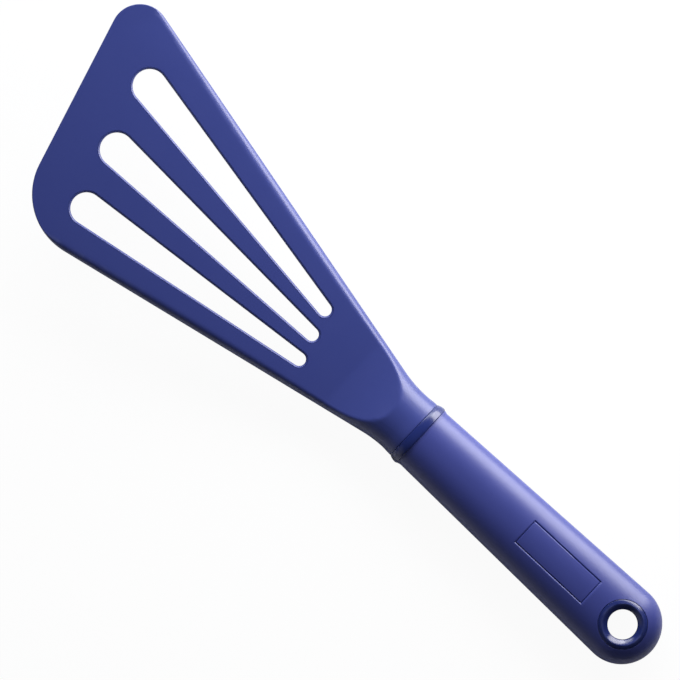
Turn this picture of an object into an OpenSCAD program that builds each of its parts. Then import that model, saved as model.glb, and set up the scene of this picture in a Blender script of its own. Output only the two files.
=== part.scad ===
// Slotted spatula: a thin fan-shaped blade with three slots, on an oval grip with a hanging eye.
// All sizes are millimetres. The grip lies along X, the blade points to +X, and up is +Z.
// Every piece is drawn with the eye's centre at the origin and the grip's middle line at height 0.
// The placed() module then moves it, so that the outline is centred over a table at height 0.

/* [Grip] */
// Length of the grip from its rear end to the collar
grip_l = 118.2; // [100:0.1:150]
// Width of the grip where its rounded end starts
grip_rear_w = 30.7; // [28:0.1:38]
// Width of the grip at the collar
grip_front_w = 25.7; // [24:0.1:34]
// Thickness of the grip where its rounded end starts
grip_rear_t = 17.7; // [17:0.1:18]
// Thickness of the grip at the collar
grip_front_t = 17.5; // [17:0.1:18]
// Fullness of the oval section, where 2 is an ellipse
grip_power = 2.2; // [2:0.05:2.6]
// Wall of the satin sleeve over the core
sleeve_wall = 2.5; // [1.8:0.1:3.2]
// Rise of the sleeve's front edge where it meets the collar
sleeve_flare = 0.4; // [0:0.05:0.6]
// Length over which the front edge rises
sleeve_flare_l = 1.5; // [0.8:0.1:3]

/* [Hanging eye] */
// Distance from the eye's centre to the rear end of the grip
eye_setback = 14.8; // [13.5:0.1:20]
// Radius of the clear hole
eye_bore_r = 5.7; // [4:0.05:6]
// Outer radius of the eye's lip
eye_lip_r = 9.3; // [8.6:0.05:10.5]
// Radius at which the lip is highest
eye_crest_r = 7.9; // [7.2:0.05:8.2]
// Height of the lip above the grip around it
eye_proud = 0.4; // [0.2:0.05:0.5]
// Depth over which the lip rounds into the hole
eye_funnel = 2.6; // [1.5:0.1:3]
// Height of the shoulders that carry the lips, from the grip's middle
eye_seat_z = 4.8; // [3:0.1:5.2]
// Wall of the tube between the two lips
eye_tube_wall = 1.5; // [1.2:0.1:2]
// Length of the lap between tube and upper lip
eye_lap_l = 2.4; // [1.5:0.1:3]

/* [Badge plate] */
// Length of the bare plate
badge_l = 32.5; // [20:0.1:45]
// Width of the bare plate
badge_w = 9.8; // [6:0.1:13]
// Distance from the eye's centre to the plate's middle
badge_x = 33.7; // [30:0.1:45]
// Sideways place of the plate's middle
badge_y = -0.6; // [-1:0.1:1]
// Height of the plate's underside above the grip's middle
badge_floor_z = 7.2; // [7:0.05:7.4]
// Width of the groove around the plate
badge_groove_w = 0.9; // [0.5:0.05:1.5]
// Depth of the groove around the plate
badge_groove_d = 0.5; // [0.3:0.05:0.8]
// Depth of the plate's face below the grip around it
badge_drop = 0.1; // [0:0.05:0.25]
// Radius of the two pegs under the plate
badge_peg_r = 1.2; // [0.8:0.05:1.8]
// Length of the pegs under the plate
badge_peg_l = 2.6; // [1.5:0.1:4]
// Distance between the pegs
badge_peg_pitch = 20; // [10:0.5:24]

/* [Collar] */
// Space for the collar between grip and neck
collar_l = 3.7; // [3:0.1:6]
// Height of the collar's bead above the grip
collar_proud = 0.75; // [0.7:0.05:1.2]
// Extra depth of the bead underneath, which its flat foot is cut from
collar_foot = 0.5; // [0.4:0.05:0.8]
// Wall of the collar at the grip's edge
collar_wall = 2.4; // [1.8:0.1:3]

/* [Tang] */
// Length of the tang inside the grip
tang_l = 62; // [45:0.5:75]
// Width of the tang at the neck
tang_w = 13; // [10:0.1:15]
// Width of the tang at its tail
tang_tail_w = 10; // [8:0.1:12]
// Thickness of the tang
tang_t = 7; // [5:0.1:8]
// Length of each lock window through the tang
window_l = 11; // [7:0.5:13]
// Width of each lock window
window_w = 4.4; // [3:0.1:5]
// Distance from the neck to the middle of the first window
window_x = 19; // [14:0.5:24]
// Distance between the windows
window_pitch = 22; // [16:0.5:28]

/* [Neck] */
// Width of the neck where it is slimmest
neck_w = 25.2; // [22:0.1:30]
// Thickness of the neck
neck_t = 16; // [14:0.1:17]
// Extra width and thickness of the neck at the collar
neck_root_extra = 0.5; // [0:0.05:0.8]
// Length over which the neck loses that extra
neck_root_l = 5; // [3:0.1:8]
// Radius of the curves from the neck into the blade's sides
neck_side_r = 48; // [25:1:70]
// Distance from the collar to the rear edge of the scoop
scoop_start = 11.0; // [9:0.1:16]
// Length of the scoop along the middle line
scoop_l = 20.5; // [17:0.1:24]
// Radius of the scoop's hollow
scoop_r = 50; // [45:1:70]
// Downward angle at the scoop's rear edge
scoop_angle = 24; // [18:0.5:28]

/* [Blade] */
// Length from the collar to the front edge on the middle line
blade_l = 176.9; // [150:0.1:210]
// Angle of the front edge, which leaves the right side longer
front_slant = 15.6; // [0:0.1:22]
// Angle of the long side away from the middle line
long_side_angle = 12.83; // [9:0.01:15]
// Angle of the short side away from the middle line
short_side_angle = 11.77; // [9:0.01:15]
// Distance from the collar to where the long side starts to spread
long_side_start = 11.6; // [9:0.1:16]
// Distance from the collar to where the short side starts to spread
short_side_start = 8.7; // [8:0.1:16]
// Radius of the corner at the end of the long side
long_corner_r = 11; // [6:0.1:16]
// Radius of the corner at the end of the short side
short_corner_r = 24.8; // [12:0.1:30]
// Upward angle of the blade against the grip
blade_tilt = 7; // [3:0.5:12]
// Thickness of the blade at the scoop
blade_root_t = 4.0; // [3.5:0.1:5.5]
// Thickness of the blade at its front edge
blade_tip_t = 1.3; // [1:0.1:2.5]
// How long the blade stays thick, where 1 thins evenly
blade_thin_power = 1.6; // [1:0.1:2.5]

/* [Slots] */
// Radius of the slots at their wide front ends
slot_wide_r = 6.4; // [5:0.05:7]
// Radius of the wide front end of the slot nearest to the short side
slot_short_wide_r = 6.05; // [5:0.05:7]
// Radius of the slots at their narrow rear ends
slot_narrow_r = 2.55; // [2.4:0.05:3.5]
// Distance from the wide ends' centres to the front edge
slot_front_gap = 23.3; // [16:0.1:30]
// Distance from the collar to the middle slot's narrow end
slot_rear_x = 52.3; // [45:0.1:70]
// Angle of the line through the narrow ends' centres
slot_rear_slant = 15.6; // [0:0.1:22]
// Sideways distance between wide ends towards the long side
slot_long_pitch = 25.8; // [20:0.1:28]
// Sideways distance between wide ends towards the short side
slot_short_pitch = 23.9; // [20:0.1:26]
// Sideways distance between narrow ends
slot_rear_pitch = 10.1; // [8.5:0.1:11]
// Sideways place of the middle slot's narrow end
slot_rear_y = -0.25; // [-1:0.05:1]

/* [Fits] */
// Clearance between pieces that fit into each other
fit = 0.1; // [0.05:0.01:0.15]
// Open joint on each side of the collar
joint_gap = 0.15; // [0.1:0.01:0.3]

/* [Hidden] */

// Fineness of curves: exact rounds, points around an oval, and steps along each rounded stretch
$fn = 96;
ring_points = 64;
rear_steps = 9;
flare_steps = 4;
neck_steps = 14;
blade_steps = 8;
scoop_steps = 14;
under_steps = 22;
arc_steps = 30;
lip_points = 72;
lip_steps = 6;
bead_steps = 8;

// Overrun of every cut past the surface that it opens
over = 1;
// Last turn of the rounded end, which closes with a tiny flat
pole_angle = 88;

satin_blue = "#38427f";
gloss_blue = "#232d6e";

// Half sizes of the grip, and where its parts begin and end
rear_hw = grip_rear_w / 2;
front_hw = grip_front_w / 2;
rear_ht = grip_rear_t / 2;
front_ht = grip_front_t / 2;
grip_end_x = rear_hw - eye_setback;
grip_front_x = grip_l - eye_setback;
neck_x = grip_front_x + collar_l;

// Tube and trimming radius of the hanging eye
eye_tube_r = eye_bore_r + eye_tube_wall;
eye_lap_r = eye_bore_r + eye_tube_wall / 2;
eye_trim_r = eye_bore_r - fit / 2;
lip_edge_drop_share = 0.4;

// Half sizes of the core's spigot inside the collar
spigot_hw = front_hw - collar_wall;
spigot_ht = front_ht - collar_wall;

// Scoop: its rear edge on the crown, the hollow's centre, and the crease with the blade's face
neck_ht = neck_t / 2;
scoop_x = neck_x + scoop_start;
scoop_centre_x = scoop_x + scoop_r * sin(scoop_angle);
scoop_centre_z = neck_ht + scoop_r * cos(scoop_angle);
scoop_lead_angle = scoop_angle + 11;
crease_x = scoop_x + scoop_l;
crease_angle = asin((scoop_centre_x - crease_x) / scoop_r);
crease_z = scoop_centre_z - scoop_r * cos(crease_angle);

// Underside: it leaves the neck's belly and joins the blade's underside
under_start_x = neck_x + neck_root_l;
under_join_x = crease_x + scoop_l / 2;
under_dip_share = 0.03;

// Share of a full half round that the collar's bead takes
bead_span_share = 0.8;

// Share of the blade's thickness above its widest line, and the section's fullness there
parting_share = 0.8;
blade_power = 1.9;

// Front edge on the middle line, and the sides' start
front_x = neck_x + blade_l;
neck_hw = neck_w / 2;
long_start_x = neck_x + long_side_start;
short_start_x = neck_x + short_side_start;
long_corner = corner_centre(-1, long_side_angle, long_start_x, long_corner_r);
short_corner = corner_centre(1, short_side_angle, short_start_x, short_corner_r);
tip_x = long_corner[0] + long_corner_r;

// Place of the eye over the middle of the outline, and of the grip's middle line over the table
place_x = (eye_setback - tip_x) / 2;
place_y = -((long_corner[1] - long_corner_r) + (short_corner[1] + short_corner_r)) / 2;
place_z = grip_ht(eye_crest_r, 0) + eye_proud;

// Value between a and b at share f
function mix(a, b, f) = a + (b - a) * f;

// Share that eases in and out between 0 and 1
function ease(f) = let (g = min(max(f, 0), 1)) g * g * (3 - 2 * g);

// Signed power that keeps a section's four quarters alike
function signed_power(v, p) = sign(v) * pow(abs(v), p);

// Points of an arc between two headings
function arc_points(centre, r, from, to) = [
    for (i = [0:arc_steps])
        let (turn = mix(from, to, i / arc_steps))
        centre + r * [cos(turn), sin(turn)]
];

// One oval section at x: half widths to left and right, heights above and below z
function oval(x, z, left, right, up, down, power) = [
    for (k = [0:ring_points - 1])
        let (
            turn = 360 * k / ring_points,
            c = signed_power(cos(turn), 2 / power),
            s = signed_power(sin(turn), 2 / power)
        )
        [x, c * (c > 0 ? left : right), z + s * (s > 0 ? up : down)]
];

// Centre of a front corner's round, which touches the front edge and one side
function corner_centre(side, angle, start_x, r) =
    let (
        reach = cos(front_slant) + side * sin(front_slant) * tan(angle),
        foot = neck_hw - start_x * tan(angle) - r / cos(angle),
        x = (front_x * cos(front_slant) - r - side * sin(front_slant) * foot) / reach
    )
    [x, side * (foot + x * tan(angle))];

// Half width of neck and blade at x, with a round between the straight neck and the side
function spread_hw(x, angle, start_x) =
    let (
        tangent_l = neck_side_r * tan(angle / 2),
        along = x - (start_x - tangent_l),
        round_l = neck_side_r * sin(angle)
    )
    along < 0 ? neck_hw
    : along < round_l ? neck_hw + neck_side_r - sqrt(pow(neck_side_r, 2) - pow(along, 2))
    : neck_hw + (x - start_x) * tan(angle);

// Height of the blade's upper face, carried on backwards behind the crease
function face_z(x) = crease_z + (x - crease_x) * tan(blade_tilt);

// Thickness of the blade at x
function blade_t(x) =
    let (share = min(max((x - crease_x) / (tip_x - crease_x), 0), 1))
    mix(blade_root_t, blade_tip_t, pow(share, blade_thin_power));

// Height of the widest line of neck and blade at x
function parting_z(x) =
    x > crease_x ? face_z(x) - parting_share * blade_t(x)
    : (crease_z - parting_share * blade_root_t)
        * ease((x - under_start_x) / (crease_x - under_start_x));

// Height of the underside at x
function under_z(x) = mix(
    -neck_ht * (1 + under_dip_share),
    face_z(x) - blade_t(x),
    ease((x - under_start_x) / (under_join_x - under_start_x))
);

// Half width and half thickness of the grip at x, with grow added all round
function grip_hw(x, grow) =
    mix(rear_hw, front_hw, (x - grip_end_x) / (grip_front_x - grip_end_x)) + grow;
function grip_ht(x, grow) =
    mix(rear_ht, front_ht, (x - grip_end_x) / (grip_front_x - grip_end_x)) + grow;

// Height of the grip's upper surface above its middle line
function grip_top(x, y) =
    let (
        shrink = x < grip_end_x ? sqrt(1 - pow((grip_end_x - x) / rear_hw, 2)) : 1,
        half_w = grip_hw(max(x, grip_end_x), 0) * shrink,
        half_t = grip_ht(max(x, grip_end_x), 0) * shrink
    )
    half_t * pow(1 - pow(abs(y) / half_w, grip_power), 1 / grip_power);

// Section of the grip at x
function grip_section(x, grow) =
    oval(x, 0, grip_hw(x, grow), grip_hw(x, grow), grip_ht(x, grow), grip_ht(x, grow), grip_power);

// Sections of the grip's rounded rear end
function grip_rear_sections(grow) = [
    for (i = [rear_steps:-1:1])
        let (
            turn = pole_angle * i / rear_steps,
            half_w = (rear_hw + grow) * cos(turn),
            half_t = (rear_ht + grow) * cos(turn)
        )
        oval(grip_end_x - (rear_hw + grow) * sin(turn), 0, half_w, half_w, half_t, half_t, grip_power)
];

// Sections of the grip with its raised front edge
function grip_outer_sections() = concat(
    grip_rear_sections(0),
    [grip_section(grip_end_x, 0)],
    [
        for (i = [0:flare_steps])
            grip_section(
                grip_front_x - sleeve_flare_l * (1 - i / flare_steps),
                sleeve_flare * ease(i / flare_steps)
            )
    ]
);

// Sections of a body that follows the grip at a distance, up to end_x
function grip_inner_sections(grow, end_x) = concat(
    grip_rear_sections(grow),
    [grip_section(grip_end_x, grow), grip_section(end_x, grow)]
);

// Closed body through a list of sections that have equally many points
module loft(sections) {
    count = len(sections[0]);
    last = len(sections) - 1;
    polyhedron(
        points = [for (ring = sections) each ring],
        faces = concat(
            [[for (k = [0:count - 1]) k]],
            [
                for (i = [0:last - 1], k = [0:count - 1], half = [0, 1])
                    let (a = i * count + k, b = i * count + (k + 1) % count)
                    half == 0 ? [a, a + count, b + count] : [a, b + count, b]
            ],
            [[for (k = [count - 1:-1:0]) last * count + k]]
        )
    );
}

// Outline with straight tangents between two round ends
module tapered_slot(rear, rear_r, front, front_r) {
    run = front - rear;
    heading = atan2(run[1], run[0]);
    tangent_turn = acos((rear_r - front_r) / norm(run));
    polygon(concat(
        arc_points(front, front_r, heading - tangent_turn, heading + tangent_turn),
        arc_points(rear, rear_r, heading + tangent_turn, heading + 360 - tangent_turn)
    ));
}

module placed() {
    translate([place_x, place_y, place_z]) children();
}

// Full oval body of neck and blade, before its faces are cut
module blade_blank() {
    loft(concat(
        [
            for (i = [0:neck_steps])
                let (
                    x = mix(neck_x, crease_x, i / neck_steps),
                    extra = neck_root_extra / 2 * (1 - ease((x - neck_x) / neck_root_l)),
                    power = mix(grip_power, blade_power, ease((x - scoop_x) / scoop_l))
                )
                oval(
                    x,
                    parting_z(x),
                    spread_hw(x, short_side_angle, short_start_x) + extra,
                    spread_hw(x, long_side_angle, long_start_x) + extra,
                    neck_ht + extra,
                    neck_ht + extra,
                    power
                )
        ],
        [
            for (i = [1:blade_steps])
                let (x = mix(crease_x, tip_x + over, i / blade_steps))
                oval(
                    x,
                    parting_z(x),
                    spread_hw(x, short_side_angle, short_start_x),
                    spread_hw(x, long_side_angle, long_start_x),
                    neck_ht,
                    neck_ht,
                    blade_power
                )
        ]
    ));
}

// Side view of neck and blade: scooped and straight above, swept below
module blade_side_view() {
    high_z = face_z(tip_x) + neck_t;
    end_x = tip_x + 2 * over;
    polygon(concat(
        [
            [neck_x - over, -neck_t],
            [neck_x - over, high_z],
            [scoop_centre_x - scoop_r * sin(scoop_lead_angle), high_z]
        ],
        [
            for (i = [0:scoop_steps])
                let (turn = mix(scoop_lead_angle, crease_angle, i / scoop_steps))
                [scoop_centre_x - scoop_r * sin(turn), scoop_centre_z - scoop_r * cos(turn)]
        ],
        [[end_x, face_z(end_x)]],
        [
            for (i = [under_steps:-1:0])
                let (x = mix(under_start_x, end_x, i / under_steps))
                [x, under_z(x)]
        ],
        [[under_start_x, -neck_t]]
    ));
}

// Plan of the blade's slanted front with its two round corners, open behind them
module blade_plan() {
    wide = spread_hw(front_x, long_side_angle, long_start_x) * 2;
    long_heading = -90 - long_side_angle;
    short_heading = 90 + short_side_angle;
    polygon(concat(
        [
            [neck_x - over, -wide],
            long_corner + wide * [cos(long_heading), sin(long_heading)]
        ],
        arc_points(long_corner, long_corner_r, long_heading, front_slant),
        arc_points(short_corner, short_corner_r, front_slant, short_heading),
        [
            short_corner + wide * [cos(short_heading), sin(short_heading)],
            [neck_x - over, wide]
        ]
    ));
}

// The three slots, fanned from the neck towards the front edge
module slots_plan() {
    gap_x = slot_front_gap / cos(front_slant);
    middle_y = (spread_hw(front_x - gap_x, short_side_angle, short_start_x)
        - spread_hw(front_x - gap_x, long_side_angle, long_start_x)) / 2;
    for (side = [-1, 0, 1]) {
        wide_y = middle_y + side * (side > 0 ? slot_short_pitch : slot_long_pitch);
        narrow_y = slot_rear_y + side * slot_rear_pitch;
        tapered_slot(
            [neck_x + slot_rear_x - narrow_y * tan(slot_rear_slant), narrow_y],
            slot_narrow_r,
            [front_x - gap_x - wide_y * tan(front_slant), wide_y],
            side > 0 ? slot_short_wide_r : slot_wide_r
        );
    }
}

// Lock windows through the tang
module window_plan(shrink) {
    round_r = window_w / 2 - shrink;
    for (i = [0, 1]) {
        translate([neck_x - window_x - i * window_pitch, 0]) {
            square([window_l - window_w, 2 * round_r], center = true);
            for (side = [-1, 1])
                translate([side * (window_l - window_w) / 2, 0]) circle(r = round_r);
        }
    }
}

// Tang outline with its round tail, and the windows left open
module tang_plan(grow, root_x) {
    tail_x = neck_x - tang_l + tang_tail_w / 2;
    difference() {
        union() {
            polygon([
                [root_x, tang_w / 2 + grow],
                [tail_x, tang_tail_w / 2 + grow],
                [tail_x, -tang_tail_w / 2 - grow],
                [root_x, -tang_w / 2 - grow]
            ]);
            translate([tail_x, 0]) circle(r = tang_tail_w / 2 + grow);
        }
        window_plan(grow);
    }
}

// Tang body: grow is its clearance all round, and root_x is where it starts
module tang_body(grow, root_x) {
    translate([0, 0, -tang_t / 2 - grow])
        linear_extrude(height = tang_t + 2 * grow) tang_plan(grow, root_x);
}

module slotted_blade() {
    high = face_z(tip_x) + 2 * neck_t;
    color(satin_blue) placed() {
        difference() {
            intersection() {
                blade_blank();
                translate([0, 2 * high, 0])
                    rotate([90, 0, 0])
                    linear_extrude(height = 4 * high)
                    blade_side_view();
                translate([0, 0, -neck_t])
                    linear_extrude(height = high + neck_t)
                    blade_plan();
            }
            translate([0, 0, -neck_t]) linear_extrude(height = high + neck_t) slots_plan();
        }
        tang_body(0, neck_x + over);
    }
}

// Ring with a rounded bead, deeper underneath, where a flat foot lies on the table
module collar_ring() {
    start_x = grip_front_x + joint_gap;
    end_x = neck_x - joint_gap;
    color(gloss_blue) placed() difference() {
        loft([
            for (i = [0:bead_steps])
                let (
                    x = mix(start_x, end_x, i / bead_steps),
                    bulge = sqrt(1 - pow(bead_span_share * (2 * i / bead_steps - 1), 2)),
                    rise = collar_proud * bulge
                )
                oval(
                    x, 0,
                    front_hw + rise, front_hw + rise,
                    front_ht + rise, front_ht + rise + collar_foot * bulge,
                    grip_power
                )
        ]);
        translate([grip_front_x, -grip_front_w, -place_z - grip_front_t])
            cube([collar_l, 2 * grip_front_w, grip_front_t]);
        loft([
            for (x = [start_x - over, end_x + over])
                oval(
                    x, 0,
                    spigot_hw + fit, spigot_hw + fit,
                    spigot_ht + fit, spigot_ht + fit,
                    grip_power
                )
        ]);
    }
}

// Round seats for the two lips, cut from above and below
module eye_seats() {
    for (side = [-1, 1])
        translate([0, 0, side > 0 ? eye_seat_z : -eye_seat_z - grip_rear_t])
            cylinder(r = eye_lip_r + fit, h = grip_rear_t);
}

// Pocket for the badge plate, with its peg holes
module badge_pocket() {
    translate([badge_x, badge_y, badge_floor_z - fit]) {
        linear_extrude(height = rear_ht)
            square([badge_l + 2 * badge_groove_w, badge_w + 2 * badge_groove_w], center = true);
        for (side = [-1, 1])
            translate([side * badge_peg_pitch / 2, 0, -badge_peg_l])
                cylinder(r = badge_peg_r + fit, h = badge_peg_l + over);
    }
}

module grip_sleeve() {
    color(satin_blue) placed() difference() {
        loft(grip_outer_sections());
        loft(grip_inner_sections(-sleeve_wall, grip_front_x + over));
        eye_seats();
        badge_pocket();
    }
}

module handle_core() {
    color(gloss_blue) placed() difference() {
        union() {
            loft(grip_inner_sections(-sleeve_wall - fit, grip_front_x));
            loft([
                for (x = [grip_front_x - over, neck_x - joint_gap])
                    oval(x, 0, spigot_hw, spigot_hw, spigot_ht, spigot_ht, grip_power)
            ]);
        }
        tang_body(fit, neck_x + over);
        eye_seats();
        badge_pocket();
        translate([0, 0, -grip_rear_t]) cylinder(r = eye_tube_r + fit, h = 2 * grip_rear_t);
    }
}

// One lip of the eye above its seat: its height follows the grip's crown all the way round
module eye_lip() {
    profile = concat(
        [[eye_lip_r, eye_lip_r, 0, -1]],
        [
            for (i = [0:lip_steps])
                let (
                    turn = 90 * i / lip_steps,
                    r = mix(eye_crest_r, eye_lip_r, cos(turn)),
                    rise = mix(-lip_edge_drop_share * eye_proud, eye_proud, sin(turn))
                )
                [r, r, rise, 0]
        ],
        [
            for (i = [1:lip_steps])
                let (turn = 90 * i / lip_steps)
                [
                    mix(eye_crest_r, eye_trim_r, sin(turn)),
                    eye_crest_r,
                    eye_proud - eye_funnel * (1 - cos(turn)),
                    0
                ]
        ],
        [[eye_trim_r, eye_trim_r, 0, -1]]
    );
    count = len(profile);
    polyhedron(
        points = [
            for (k = [0:lip_points - 1], p = profile)
                let (turn = 360 * k / lip_points)
                [
                    p[0] * cos(turn),
                    p[0] * sin(turn),
                    p[3] < 0 ? eye_seat_z : grip_top(p[1] * cos(turn), p[1] * sin(turn)) + p[2]
                ]
        ],
        faces = [
            for (k = [0:lip_points - 1], i = [0:count - 1], half = [0, 1])
                let (
                    a = k * count + i,
                    b = k * count + (i + 1) % count,
                    c = ((k + 1) % lip_points) * count + i,
                    d = ((k + 1) % lip_points) * count + (i + 1) % count
                )
                half == 0 ? [a, b, d] : [a, d, c]
        ]
    );
}

module eyelet_bush() {
    color(gloss_blue) placed() difference() {
        union() {
            mirror([0, 0, 1]) eye_lip();
            translate([0, 0, -eye_seat_z])
                cylinder(r = eye_tube_r, h = 2 * eye_seat_z - eye_lap_l);
            translate([0, 0, -eye_seat_z])
                cylinder(r = eye_lap_r, h = 2 * eye_seat_z - fit);
        }
        translate([0, 0, -grip_rear_t]) cylinder(r = eye_bore_r, h = 2 * grip_rear_t);
    }
}

module eyelet_ring() {
    color(gloss_blue) placed() difference() {
        union() {
            eye_lip();
            translate([0, 0, eye_seat_z - eye_lap_l + fit]) difference() {
                cylinder(r = eye_tube_r, h = eye_lap_l);
                translate([0, 0, -over])
                    cylinder(r = eye_lap_r + fit / 2, h = eye_lap_l + over - fit);
            }
        }
        translate([0, 0, -grip_rear_t]) cylinder(r = eye_bore_r, h = 2 * grip_rear_t);
    }
}

// Part of the grip's own form above the plate's floor, drawn in by depth and cut to a rectangle
module badge_layer(depth, length, width) {
    intersection() {
        loft(grip_inner_sections(-depth, grip_front_x));
        translate([badge_x, badge_y, badge_floor_z])
            linear_extrude(height = rear_ht)
            square([length, width], center = true);
    }
}

module badge_plate() {
    foot_extra = 2 * (badge_groove_w - fit);
    color(satin_blue) placed() {
        badge_layer(badge_drop, badge_l, badge_w);
        badge_layer(badge_groove_d, badge_l + foot_extra, badge_w + foot_extra);
        for (side = [-1, 1])
            translate([
                badge_x + side * badge_peg_pitch / 2,
                badge_y,
                badge_floor_z - badge_peg_l + fit
            ])
                cylinder(r = badge_peg_r, h = badge_peg_l);
    }
}

slotted_blade();
collar_ring();
grip_sleeve();
handle_core();
eyelet_bush();
eyelet_ring();
badge_plate();
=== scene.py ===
"""Slotted spatula: its moulded pieces, their finishes, and a plain studio.

Sizes are millimetres from the hanging eye's centre, forward along the grip, as in the solids.
Every finished mesh is moved to the shared frame and turned to metres, so each object stays at the
origin. Angles are degrees.
"""

import logging
import math
from dataclasses import dataclass
from enum import Enum
from typing import Callable, Mapping, Optional, Sequence

import bmesh
import bpy
from bmesh.types import BMesh, BMFace, BMLayerItem, BMVert
from bpy.types import Material, Node, NodeSocket, NodeTree
from mathutils import Matrix, Vector


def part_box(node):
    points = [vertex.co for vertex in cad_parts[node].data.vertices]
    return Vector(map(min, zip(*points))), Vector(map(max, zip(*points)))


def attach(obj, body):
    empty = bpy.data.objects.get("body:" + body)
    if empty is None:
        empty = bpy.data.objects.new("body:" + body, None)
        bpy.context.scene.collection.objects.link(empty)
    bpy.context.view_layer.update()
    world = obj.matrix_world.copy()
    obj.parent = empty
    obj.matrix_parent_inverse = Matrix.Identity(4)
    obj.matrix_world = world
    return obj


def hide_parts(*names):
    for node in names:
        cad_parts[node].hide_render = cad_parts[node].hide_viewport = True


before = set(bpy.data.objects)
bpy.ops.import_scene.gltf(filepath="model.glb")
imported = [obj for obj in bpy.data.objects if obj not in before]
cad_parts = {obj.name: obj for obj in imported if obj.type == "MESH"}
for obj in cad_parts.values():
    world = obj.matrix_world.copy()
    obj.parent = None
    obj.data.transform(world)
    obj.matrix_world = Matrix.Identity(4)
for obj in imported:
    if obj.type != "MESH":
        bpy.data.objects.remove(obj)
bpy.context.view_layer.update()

MM = 0.001
LOG = logging.getLogger("spatula")
WHITE = (1.0, 1.0, 1.0, 1.0)

Pair = tuple[float, float]
Colour = tuple[float, float, float]

# A row of a mesh: how far out it lies, then its height and None, or the place on the grip's crown
# that it follows and its height over the crown
CrownRow = tuple[float, float, Optional[float]]


# Small sums that the pieces share


def sin(angle: float) -> float:
    """Returns the sine of an angle in degrees."""
    return math.sin(math.radians(angle))


def cos(angle: float) -> float:
    """Returns the cosine of an angle in degrees."""
    return math.cos(math.radians(angle))


def tan(angle: float) -> float:
    """Returns the tangent of an angle in degrees."""
    return math.tan(math.radians(angle))


def heading(angle: float) -> Vector:
    """Returns the flat unit vector at an angle from the forward direction."""
    return Vector((cos(angle), sin(angle)))


def mix(a: float, b: float, share: float) -> float:
    """Returns the value between a and b at a share."""
    return a + (b - a) * share


def clamp(value: float) -> float:
    """Returns value held between 0 and 1."""
    return min(max(value, 0.0), 1.0)


def ease(share: float) -> float:
    """Returns a share that eases in and out between 0 and 1."""
    held = clamp(share)
    return held * held * (3.0 - 2.0 * held)


def soft_min(a: float, b: float, reach: float) -> float:
    """Returns the lower of two heights, rounded where they differ by less than reach."""
    share = max(reach - abs(a - b), 0.0) / reach
    return min(a, b) - share * share * reach / 4.0


def soft_max(a: float, b: float, reach: float) -> float:
    """Returns the higher of two heights, rounded where they differ by less than reach."""
    return -soft_min(-a, -b, reach)


def spread(low: float, high: float, steps: int) -> list[float]:
    """Returns steps + 1 evenly spaced values from low to high."""
    return [mix(low, high, i / steps) for i in range(steps + 1)]


def rounding(radius: float, steps: int, start: float = 0.0, end: float = 90.0) -> list[Pair]:
    """Returns the way over a rounded edge.

    Args:
        radius: Radius of the edge.
        steps: Number of steps.
        start: Angle of the first step, 0 where the face meets the round.
        end: Angle of the last step, 90 where the round meets the wall.

    Returns:
        At each step, the distance inside the wall and the depth under the face.
    """
    return [(radius * (1.0 - sin(a)), radius * (1.0 - cos(a))) for a in spread(start, end, steps)]


def oval(share: float, power: float) -> float:
    """Returns an oval's height at a share of its half width, as a share of its half height."""
    return (1.0 - share**power) ** (1.0 / power)


def signed_power(value: float, power: float) -> float:
    """Returns value's size raised to a power, with value's sign."""
    return math.copysign(abs(value) ** power, value)


@dataclass(frozen=True)
class GripForm:
    """Outer form of the grip: an oval that tapers to the collar and ends in a round."""

    length: float = 118.2
    rear_width: float = 30.7
    front_width: float = 25.7
    rear_thickness: float = 17.7
    front_thickness: float = 17.5
    fullness: float = 2.2
    eye_setback: float = 14.8
    flare: float = 0.4
    flare_length: float = 1.5
    flare_top_share: float = 0.2
    wall: float = 2.5

    @property
    def end_x(self) -> float:
        """Station where the rounded end starts."""
        return self.rear_width / 2 - self.eye_setback

    @property
    def front_x(self) -> float:
        """Station of the grip's front edge."""
        return self.length - self.eye_setback

    def half(self, rear: float, front: float, x: float) -> float:
        """Returns half of a size at a station of the tapered part."""
        share = (x - self.end_x) / (self.front_x - self.end_x)
        return mix(rear, front, share) / 2

    def half_width(self, x: float) -> float:
        """Returns half the width at a station of the tapered part."""
        return self.half(self.rear_width, self.front_width, x)

    def half_thickness(self, x: float) -> float:
        """Returns half the thickness at a station of the tapered part."""
        return self.half(self.rear_thickness, self.front_thickness, x)

    def crown(self, x: float, y: float) -> float:
        """Returns the height of the upper surface over the middle line.

        Args:
            x: Distance forward of the eye's centre.
            y: Distance to the left of the middle line.

        Returns:
            The height, which is 0 outside the outline.
        """
        shrink = 1.0
        if x < self.end_x:
            back = (self.end_x - x) / (self.rear_width / 2)
            shrink = math.sqrt(max(1.0 - back * back, 0.0))
        station = max(x, self.end_x)
        half_w = self.half_width(station) * shrink
        if half_w <= abs(y):
            return 0.0
        return self.half_thickness(station) * shrink * oval(abs(y) / half_w, self.fullness)

    def section(self, x: float, turn: float, half_w: float, half_t: float) -> Vector:
        """Returns the point of an oval section.

        Args:
            x: Station of the section.
            turn: Angle round the section.
            half_w: Half the section's width.
            half_t: Half the section's thickness.

        Returns:
            The point.
        """
        power = 2.0 / self.fullness
        across = signed_power(cos(turn), power) * half_w
        return Vector((x, across, signed_power(sin(turn), power) * half_t))


GRIP = GripForm()
NECK_X = GRIP.front_x + 3.7


# Mesh helpers


def eye_centre() -> Vector:
    """Returns the place of the eye's centre in the shared frame, in metres."""
    eye_low, eye_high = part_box("eyelet_ring")
    core_low, core_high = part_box("handle_core")
    eye, core = (eye_low + eye_high) / 2, (core_low + core_high) / 2
    return Vector((eye.x, eye.y, core.z))


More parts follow.
